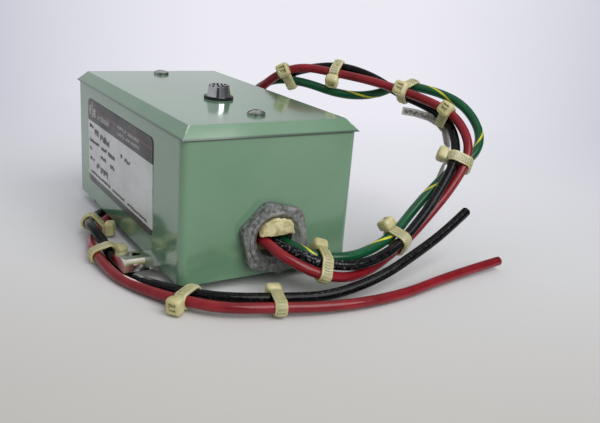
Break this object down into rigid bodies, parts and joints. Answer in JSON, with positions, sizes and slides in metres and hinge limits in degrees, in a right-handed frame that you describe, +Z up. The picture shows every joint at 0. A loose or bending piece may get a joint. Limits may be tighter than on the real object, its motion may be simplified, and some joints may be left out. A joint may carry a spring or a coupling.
{
  "type": "whole house surge protector",
  "caption": "Painted steel surge protector box with a bevelled lid, pilot light, hexagonal cord gland, mounting feet and tied leads.",
  "frame": {"origin": "middle of the box in plan, on the surface that the two mounting feet stand on", "axes": "+X across the box, nameplate on the -X side; +Y along the box, away from the gland end; +Z up through the lid"},
  "size_m": [0.1716, 0.1671, 0.0792],
  "materials": {
    "green_paint": "gloss enamel, slightly worn at the edges",
    "zinc_steel": "zinc plated",
    "bright_plate": "bright nickel plated",
    "die_cast_grey": "dull grey cast zinc",
    "sealing_compound": "cream potting compound",
    "label_foil": "satin printed foil",
    "chrome_trim": "polished chrome",
    "black_rubber": "matt",
    "lens": "dark translucent plastic",
    "board_laminate": "green solder mask",
    "varistor_coating": "epoxy dipped",
    "cutoff_case": "metal-cased",
    "capacitor_case": "moulded case",
    "resistor_body": "lacquered",
    "red_insulation": "nylon-jacketed insulation",
    "black_insulation": "nylon-jacketed insulation",
    "green_insulation": "nylon-jacketed insulation with a yellow stripe",
    "natural_nylon": "natural translucent nylon"
  },
  "bodies": {
    "box": {"enclosure_body": "green_paint", "lid_bracket_near": "green_paint", "lid_bracket_far": "green_paint", "chase_nipple": "die_cast_grey", "gland_locknut": "die_cast_grey", "sealing_plug": "sealing_compound", "nameplate": "label_foil", "mounting_foot_left": "bright_plate", "mounting_foot_right": "bright_plate", "circuit_board": "board_laminate", "film_capacitor": "capacitor_case", "ballast_resistor": "resistor_body", "foot_rivet_left_1": "bright_plate", "foot_rivet_left_2": "bright_plate", "foot_rivet_right_1": "bright_plate", "foot_rivet_right_2": "bright_plate", "standoff_1": "bright_plate", "standoff_2": "bright_plate", "standoff_3": "bright_plate", "standoff_4": "bright_plate", "board_screw_1": "zinc_steel", "board_screw_2": "zinc_steel", "board_screw_3": "zinc_steel", "board_screw_4": "zinc_steel", "varistor_1": "varistor_coating", "varistor_2": "varistor_coating", "varistor_3": "varistor_coating", "thermal_cutoff_1": "cutoff_case", "thermal_cutoff_2": "cutoff_case", "inner_lead_red": "red_insulation", "inner_lead_black": "black_insulation", "inner_lead_green": "green_insulation", "terminal_red": "bright_plate", "terminal_black": "bright_plate", "terminal_green": "bright_plate", "red_lead": "red_insulation", "black_lead": "black_insulation", "green_lead": "green_insulation", "cable_tie_01": "natural_nylon", "cable_tie_02": "natural_nylon", "cable_tie_03": "natural_nylon", "cable_tie_04": "natural_nylon", "cable_tie_05": "natural_nylon", "cable_tie_06": "natural_nylon", "cable_tie_07": "natural_nylon", "cable_tie_08": "natural_nylon", "cable_tie_09": "natural_nylon", "cable_tie_10": "natural_nylon", "cable_tie_11": "natural_nylon"},
    "lid": {"lid": "green_paint", "indicator_washer": "black_rubber", "indicator_bezel": "chrome_trim", "indicator_lens": "lens", "indicator_nut": "chrome_trim"},
    "screw_near": {"lid_screw_near": "zinc_steel"},
    "screw_far": {"lid_screw_far": "zinc_steel"}
  },
  "joints": [
    {"name": "lid_lift", "type": "slide", "parent": "box", "child": "lid", "axis": [0, 0, 1], "range_m": [0, 0.05]},
    {"name": "screw_near_turn", "type": "hinge", "parent": "lid", "child": "screw_near", "pos_m": [0, -0.0485, 0.064], "axis": [0, 0, 1], "range_deg": [0, 360]},
    {"name": "screw_far_turn", "type": "hinge", "parent": "lid", "child": "screw_far", "pos_m": [0, 0.0515, 0.064], "axis": [0, 0, 1], "range_deg": [0, 360]}
  ]
}
